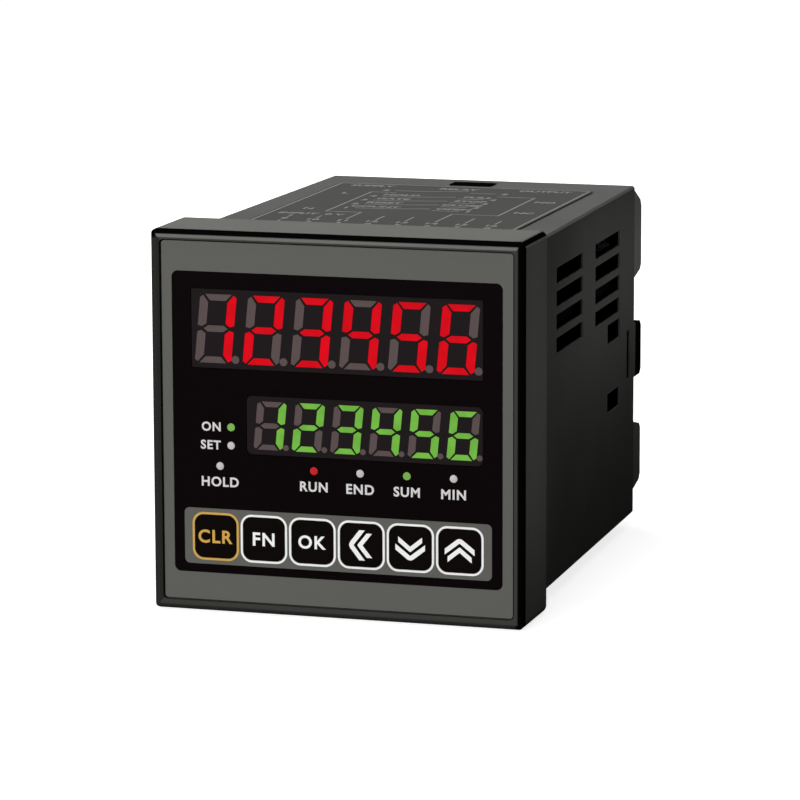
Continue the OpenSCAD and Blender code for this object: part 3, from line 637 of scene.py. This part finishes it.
def letters(words, cap_height, spot, turn, bold=0.02, spacing=1.0):
    """Words as a thin film of ink, with their middle at a spot; gives the new object.
    The text is 1 thick when it is made a mesh, and its thickness is then scaled to the film's."""
    start_clean()
    bpy.ops.object.text_add()
    text = bpy.context.object
    text.data.body = words
    text.data.extrude = 0.5
    text.data.offset = bold
    text.data.space_character = spacing
    text.data.resolution_u = 4
    bpy.ops.object.convert(target="MESH")
    piece = bpy.context.object
    bpy.ops.object.origin_set(type="ORIGIN_GEOMETRY", center="BOUNDS")
    size = cap_height / piece.dimensions.y
    piece.scale = (size, size, INK_FILM)
    piece.location = spot
    piece.rotation_euler = turn
    settle()
    bpy.ops.object.mode_set(mode="EDIT")
    bpy.ops.mesh.select_all(action="SELECT")
    bpy.ops.mesh.remove_doubles(threshold=TEXT_MERGE)
    bpy.ops.mesh.normals_make_consistent(inside=False)
    bpy.ops.object.mode_set(mode="OBJECT")
    return piece


def join(pieces):
    """Joins pieces into the first of them."""
    start_clean()
    for piece in pieces:
        piece.select_set(True)
    bpy.context.view_layer.objects.active = pieces[0]
    bpy.ops.object.join()
    return pieces[0]


def select_points(piece, chosen):
    """Selects the vertices that are chosen by their place, and leaves the piece in edit mode."""
    bpy.ops.object.mode_set(mode="EDIT")
    bpy.ops.mesh.select_mode(type="VERT")
    bpy.ops.mesh.select_all(action="DESELECT")
    bpy.ops.object.mode_set(mode="OBJECT")
    for vertex in piece.data.vertices:
        vertex.select = chosen(vertex.co)
    bpy.ops.object.mode_set(mode="EDIT")


def chevron(half_width, drop, thickness, top, tip_round):
    """One chevron that points up, about the origin: an arm with its outer end let down, then mirrored."""
    start_clean()
    bpy.ops.mesh.primitive_plane_add(size=1, rotation=FACING_FRONT)
    arm = bpy.context.object
    arm.scale = (half_width, thickness, 1)
    arm.location = (half_width / 2, 0, top - thickness / 2)
    settle()
    select_points(arm, lambda point: point.x > half_width / 2)
    bpy.ops.transform.translate(value=(0, 0, -drop))
    bpy.ops.object.mode_set(mode="OBJECT")
    apply_modifier(arm, "MIRROR", use_axis=(True, False, False), use_clip=True,
                   merge_threshold=POINT_MERGE)
    select_points(arm, lambda point: abs(point.x) < NEAR_MIDDLE and point.z > top - thickness / 2)
    bpy.ops.mesh.bevel(offset=tip_round, segments=6, affect="VERTICES")
    bpy.ops.object.mode_set(mode="OBJECT")
    return arm


outer_chevron = chevron(half_width=2.85 * MM, drop=2.2 * MM, thickness=1.1 * MM, top=2.55 * MM,
                        tip_round=0.75 * MM)
inner_chevron = chevron(half_width=2.3 * MM, drop=1.85 * MM, thickness=1.05 * MM, top=0.75 * MM,
                        tip_round=0.2 * MM)
double_chevron = join([outer_chevron, inner_chevron])
apply_modifier(double_chevron, "SOLIDIFY", thickness=INK_FILM, offset=0)
for i in KEYS:
    spot = middle(f"key_{i}")
    spot.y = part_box(f"key_{i}")[0].y - INK_FILM / 2
    if i in KEY_WORDS:
        legend = letters(KEY_WORDS[i], KEY_CAP_HEIGHT, spot, FACING_FRONT,
                         bold=KEY_BOLD, spacing=KEY_SPACING)
    else:
        legend = placed_copy(double_chevron, spot, (0, CHEVRON_TURNS[i], 0))
    hand_over(legend, f"key_legend_{i}", gold_ink if i == 1 else white_ink, f"key_{i}")
start_clean()
double_chevron.select_set(True)
bpy.ops.object.delete()


# Indicator words: pale grey ink on the window, beside the two upper indicators and under the others.
# They are plain state words, one for each indicator.
SIDE_WORDS = (("led_power", "ON"), ("led_preset", "SET"))
ROW_WORDS = (("led_lock", "HOLD"), ("led_out", "RUN"), ("led_batch", "END"), ("led_count", "SUM"),
             ("led_timer", "MIN"))
SIDE_CAP_HEIGHT = 1.75 * MM
ROW_CAP_HEIGHT = 1.88 * MM
ROW_DROP = 2.97 * MM
WORD_BOLD = 0.028
WORD_SPACING = 1.14
SIDE_WORD_END = -22.5 * MM

word_ink = printed("word_ink", (224, 222, 222))
print_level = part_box("display_window")[0].y - INK_FILM / 2
words = []
for node, word in SIDE_WORDS:
    piece = letters(word, SIDE_CAP_HEIGHT, (0, print_level, middle(node).z), FACING_FRONT,
                    bold=WORD_BOLD, spacing=WORD_SPACING)
    right_end = max(vertex.co.x for vertex in piece.data.vertices)
    piece.location.x = SIDE_WORD_END - right_end
    settle()
    words.append(piece)
for node, word in ROW_WORDS:
    spot = middle(node)
    words.append(letters(word, ROW_CAP_HEIGHT, (spot.x, print_level, spot.z - ROW_DROP), FACING_FRONT,
                         bold=WORD_BOLD, spacing=WORD_SPACING))
hand_over(join(words), "indicator_words", word_ink, "housing")


# Terminal numbers: white ink on the rear plate, between the two rows and beside their screws.
# They count from left to right as the wirer sees them, the upper row first.
TERMINAL_PITCH = 7.8 * MM
TERMINALS_IN_ROW = 8
NUMBER_CAP_HEIGHT = 2 * MM
NUMBER_LEVEL = 12.2 * MM
REAR_PLATE = 84 * MM
FACING_REAR = (pi / 2, 0, pi)

numbers = []
for count in range(2 * TERMINALS_IN_ROW):
    row, column = divmod(count, TERMINALS_IN_ROW)
    spot = (((TERMINALS_IN_ROW - 1) / 2 - column) * TERMINAL_PITCH, REAR_PLATE + INK_FILM / 2,
            NUMBER_LEVEL * (1 - 2 * row))
    numbers.append(letters(str(count + 1), NUMBER_CAP_HEIGHT, spot, FACING_REAR))
hand_over(join(numbers), "terminal_numbers", white_ink, "housing")


# Latch tabs: black tabs on the case's top and underside, in front of the two slots where the
# terminal base snaps in. Their black is painted shade that makes the slots' dark look longer.
# They are pressed on the case, and their edges are chamfered.
TAB_SIZE = (8.7 * MM, 4.1 * MM)
TAB_MIDDLE = 76.55 * MM
TAB_HEIGHT = 0.3 * MM
TAB_CHAMFER = 0.12 * MM

slot_shade_plastic, *_ = moulding("slot_shade_plastic", (7, 7, 7), grain=CASE_GRAIN, patches=CASE_PATCHES, spread=0.1,
                           depth=0.008 * MM, gloss=(0.5, 0.6), specular=0)
tab_level = CASE_HALF + TAB_HEIGHT / 2
start_clean()
bpy.ops.mesh.primitive_cube_add(size=1, location=(0, TAB_MIDDLE, tab_level))
top_tab = bpy.context.object
top_tab.scale = (*TAB_SIZE, TAB_HEIGHT)
settle()
apply_modifier(top_tab, "BEVEL", width=TAB_CHAMFER, segments=2, affect="EDGES")
under_tab = placed_copy(top_tab, (0, 0, -2 * tab_level))
hand_over(join([top_tab, under_tab]), "slot_shade_tabs", slot_shade_plastic, "housing")


# Connection label: a stiff satin film stuck on the case's top, with a pale wiring drawing on it.
# The drawing is a plain one: a border, two feeds, contacts and the terminals' numbers.
LABEL_HALF_WIDTH = 26.6 * MM
LABEL_FRONT = 4 * MM
LABEL_REAR = 71.6 * MM
LABEL_FILM = 0.25 * MM
LABEL_CORNER = 1.2 * MM
LABEL_MARGIN = 0.5 * MM
LABEL_LINE = 0.38 * MM
LABEL_CAP_HEIGHT = 2.1 * MM
LABEL_BOLD = 0.035
CORNER_GAP = 1.05
# Sizes and places in the drawing are in millimetres, across and then back from the case's front.
SPOT_PITCH = 5.9
SPOT_BACK = 10.4
SPOT_SIZE = 1.9
SPOT_CORNER = 0.9
SPOT_NUMBERS = (13.8, 17.2)
LEAD_START = 19.2
LEAD_ENDS = {0: 22.4, 1: 22.4, 3: 25, 4: 25, 6: 26, 7: 24}
SUPPLY_FEED = ((-8.85, LEAD_START), (-8.85, 29), (-16, 29), (-16, 59), (-11, 59))
OUTPUT_FEED = ((8.85, LEAD_START), (8.85, 31), (18, 31), (18, 58), (10.6, 58))
CONTACT_LEVELS = (35, 41, 47, 53, 62)
CONTACT_WORDS = (("COUNT", "OPEN"), ("RESET", "CLOSE"), ("GATE", "STOP"), ("HOLD", "FULL"))
CONTACT_ENDS = (-12, 9)
CONTACT_STUB = 5.4
BLADE_SHORT = 1
BLADE_RISE = 2.2
CONTACT_NUMBER_GAP = 1.8
CONTACT_WORDS_ACROSS = (-8.6, 7.2)
CONTACT_WORDS_RISE = 2.7
LABEL_WORDS = (("SUPPLY", -18.4, 68), ("RELAY", 0, 67), ("OUTPUT", 17.6, 68),
               ("INPUT", -20.2, 24.8), ("0 V", -12.9, 24.8), ("NO", 21.8, 52), ("NC", 21.8, 36),
               ("L", -20.5, 56), ("N", -20.5, 32))

label_top = CASE_HALF + LABEL_FILM


def flat_frame(size, spot, corner, width):
    """A flat frame in the level plane with round corners and an even width. Width 0 leaves it whole."""
    start_clean()
    bpy.ops.mesh.primitive_plane_add(size=1, location=spot)
    piece = bpy.context.object
    piece.scale = (size[0], size[1], 1)
    settle()
    bpy.ops.object.mode_set(mode="EDIT")
    bpy.ops.mesh.select_all(action="SELECT")
    bpy.ops.mesh.bevel(offset=corner, segments=6, affect="VERTICES")
    if width:
        bpy.ops.mesh.inset(thickness=width)
        bpy.ops.mesh.delete(type="FACE")
    bpy.ops.object.mode_set(mode="OBJECT")
    return piece


def flat_line(start, end):
    """A printed line between two points of the label."""
    start, end = Vector(start) * MM, Vector(end) * MM
    run = end - start
    half_way = (start + end) / 2
    start_clean()
    bpy.ops.mesh.primitive_plane_add(size=1, location=(half_way.x, half_way.y, label_top))
    piece = bpy.context.object
    piece.scale = (run.length, LABEL_LINE, 1)
    piece.rotation_euler.z = atan2(run.y, run.x)
    settle()
    return piece


def flat_path(points):
    """Printed lines through several points, which meet in square corners with a hair between them."""
    lines = []
    for step, (start, end) in enumerate(zip(points, points[1:])):
        start, end = Vector(start), Vector(end)
        half_line = (end - start).normalized() * LABEL_LINE / MM / 2
        lines.append(flat_line(start + half_line * CORNER_GAP if step else start, end + half_line))
    return lines


def label_text(words, across, back):
    """Words or a number on the label, with their middle at a place."""
    return letters(words, LABEL_CAP_HEIGHT, (across * MM, back * MM, label_top + INK_FILM / 2), (0, 0, 0),
                   bold=LABEL_BOLD)


label_film, *_ = moulding("label_film", (84, 84, 82), grain=4200, patches=50, spread=0.04,
                          depth=0.004 * MM, gloss=(0.4, 0.5), specular=0)
label_ink = printed("label_ink", (113, 113, 110))
label_middle = (0, (LABEL_FRONT + LABEL_REAR) / 2)
label_size = (2 * LABEL_HALF_WIDTH, LABEL_REAR - LABEL_FRONT)
label = flat_frame(label_size, (*label_middle, CASE_HALF), LABEL_CORNER, 0)
apply_modifier(label, "SOLIDIFY", thickness=LABEL_FILM, offset=1)
hand_over(label, "connection_label", label_film, "housing")

border = flat_frame([side - 2 * LABEL_MARGIN for side in label_size], (*label_middle, label_top),
                    LABEL_CORNER - LABEL_MARGIN, LABEL_LINE)
drawing = [border, *flat_path(SUPPLY_FEED), *flat_path(OUTPUT_FEED)]
printing = [label_text(*word) for word in LABEL_WORDS]
left_end, right_end = CONTACT_ENDS
left, right = left_end + CONTACT_STUB, right_end - CONTACT_STUB
for count, level in enumerate(CONTACT_LEVELS):
    drawing.append(flat_line((left_end, level), (left, level)))
    drawing.append(flat_line((right, level), (right_end, level)))
    drawing.append(flat_line((left, level), (right - BLADE_SHORT, level + BLADE_RISE)))
    for across in (left_end - CONTACT_NUMBER_GAP, right_end + CONTACT_NUMBER_GAP):
        printing.append(label_text(str(count + 1), across, level))
for pair, level in zip(CONTACT_WORDS, CONTACT_LEVELS):
    for word, across in zip(pair, CONTACT_WORDS_ACROSS):
        printing.append(label_text(word, across, level + CONTACT_WORDS_RISE))
first_across = -(TERMINALS_IN_ROW - 1) / 2 * SPOT_PITCH
first_spot = flat_frame((SPOT_SIZE * MM, SPOT_SIZE * MM), (first_across * MM, SPOT_BACK * MM, label_top),
                        SPOT_CORNER * MM, LABEL_LINE)
drawing.append(first_spot)
for column in range(TERMINALS_IN_ROW):
    across = first_across + column * SPOT_PITCH
    if column:
        drawing.append(placed_copy(first_spot, (column * SPOT_PITCH * MM, 0, 0)))
    if column in LEAD_ENDS:
        drawing.append(flat_line((across, LEAD_START), (across, LEAD_ENDS[column])))
    for row, back in enumerate(SPOT_NUMBERS):
        printing.append(label_text(str(column + 1 + row * TERMINALS_IN_ROW), across, back))
drawing = join(drawing)
apply_modifier(drawing, "SOLIDIFY", thickness=INK_FILM, offset=1)
hand_over(join([drawing, *printing]), "label_drawing", label_ink, "housing")


# Studio: a pale floor under the bezel and white round about, which the camera sees as a white page.
# Soft lamps stand in front, above and at the rear left, and two weak strips close to the right side.
# The floor keeps the counter's shadow.
WHITE = (1, 1, 1, 1)
FILL = 0.01
FLOOR_SIZE = 12
FLOOR_PALE = (0.6, 0.6, 0.6, 1)
FLOOR_DIM = (0.03, 0.03, 0.03, 1)
# The floor's own light grows from the first to the second strength between these distances.
GLOW_REACH = (0.15, 0.6)
FLOOR_GLOW = (0.8, 1)


def seen_directly(tree):
    """1 for the rays that show the background: camera, glossy and transmission rays."""
    path = tree.nodes.new("ShaderNodeLightPath")
    mirrored = math_node(tree, "MAXIMUM", path.outputs["Is Glossy Ray"],
                         path.outputs["Is Transmission Ray"])
    return math_node(tree, "MAXIMUM", path.outputs["Is Camera Ray"], mirrored)


start_clean()
bpy.ops.mesh.primitive_plane_add(size=FLOOR_SIZE, location=(0, 0, cad_box[0][2]))
floor = bpy.context.object
floor.name = "studio_floor"
floor_paint = bpy.data.materials.new("floor_paint")
floor_paint.use_nodes = True
tree = floor_paint.node_tree
tree.nodes.clear()
pale = tree.nodes.new("ShaderNodeBsdfDiffuse")
pale.inputs["Color"].default_value = FLOOR_PALE
dim = tree.nodes.new("ShaderNodeBsdfDiffuse")
dim.inputs["Color"].default_value = FLOOR_DIM
glow = tree.nodes.new("ShaderNodeEmission")
glow.inputs["Color"].default_value = WHITE
reach = tree.nodes.new("ShaderNodeVectorMath")
reach.operation = "LENGTH"
tree.links.new(tree.nodes.new("ShaderNodeTexCoord").outputs["Object"], reach.inputs[0])
strength = range_node(tree, reach.outputs["Value"], *GLOW_REACH, *FLOOR_GLOW)
tree.links.new(strength, glow.inputs["Strength"])
bright = tree.nodes.new("ShaderNodeAddShader")
tree.links.new(pale.outputs[0], bright.inputs[0])
tree.links.new(glow.outputs[0], bright.inputs[1])
choose = tree.nodes.new("ShaderNodeMixShader")
tree.links.new(seen_directly(tree), choose.inputs[0])
tree.links.new(dim.outputs[0], choose.inputs[1])
tree.links.new(bright.outputs[0], choose.inputs[2])
surface = tree.nodes.new("ShaderNodeOutputMaterial")
tree.links.new(choose.outputs[0], surface.inputs["Surface"])
floor.data.materials.append(floor_paint)

world = bpy.data.worlds.new("studio")
world.use_nodes = True
bpy.context.scene.world = world
tree = world.node_tree
tree.nodes.clear()
fill = tree.nodes.new("ShaderNodeBackground")
fill.inputs["Color"].default_value = WHITE
fill.inputs["Strength"].default_value = FILL
white = tree.nodes.new("ShaderNodeBackground")
white.inputs["Color"].default_value = WHITE
white.inputs["Strength"].default_value = 1
choose = tree.nodes.new("ShaderNodeMixShader")
tree.links.new(seen_directly(tree), choose.inputs[0])
tree.links.new(fill.outputs[0], choose.inputs[1])
tree.links.new(white.outputs[0], choose.inputs[2])
surface = tree.nodes.new("ShaderNodeOutputWorld")
tree.links.new(choose.outputs[0], surface.inputs["Surface"])


def softbox(name, place, aim_at, size, power):
    """A soft lamp of this width and height that faces a point."""
    bpy.ops.object.light_add(type="AREA", location=place)
    lamp = bpy.context.object
    lamp.name = name
    lamp.rotation_euler = (Vector(aim_at) - Vector(place)).to_track_quat("-Z", "Y").to_euler()
    lamp.data.shape = "RECTANGLE"
    lamp.data.size, lamp.data.size_y = size
    lamp.data.energy = power
    lamp.visible_camera = False
    lamp.visible_glossy = False


softbox("front_softbox", (-0.15, -0.80, 0.05), aim_at=(0, 0, 0), size=(0.6, 0.5), power=9.2)
softbox("top_softbox", (-0.05, 0.05, 0.50), aim_at=(0, 0.03, 0), size=(0.3, 0.3), power=1.75)
softbox("rear_softbox", (-0.60, 0.70, 0.30), aim_at=(0, 0.05, 0), size=(0.5, 0.5), power=6.0)
softbox("side_strip", (0.062, 0.066, 0.020), aim_at=(0.03, 0.066, 0.020), size=(0.09, 0.01),
        power=0.0042)
softbox("bezel_strip", (0.060, -0.009, 0.014), aim_at=(0.03, -0.009, 0.014), size=(0.01, 0.078),
        power=0.00175)

bpy.context.scene.view_settings.view_transform = "Standard"
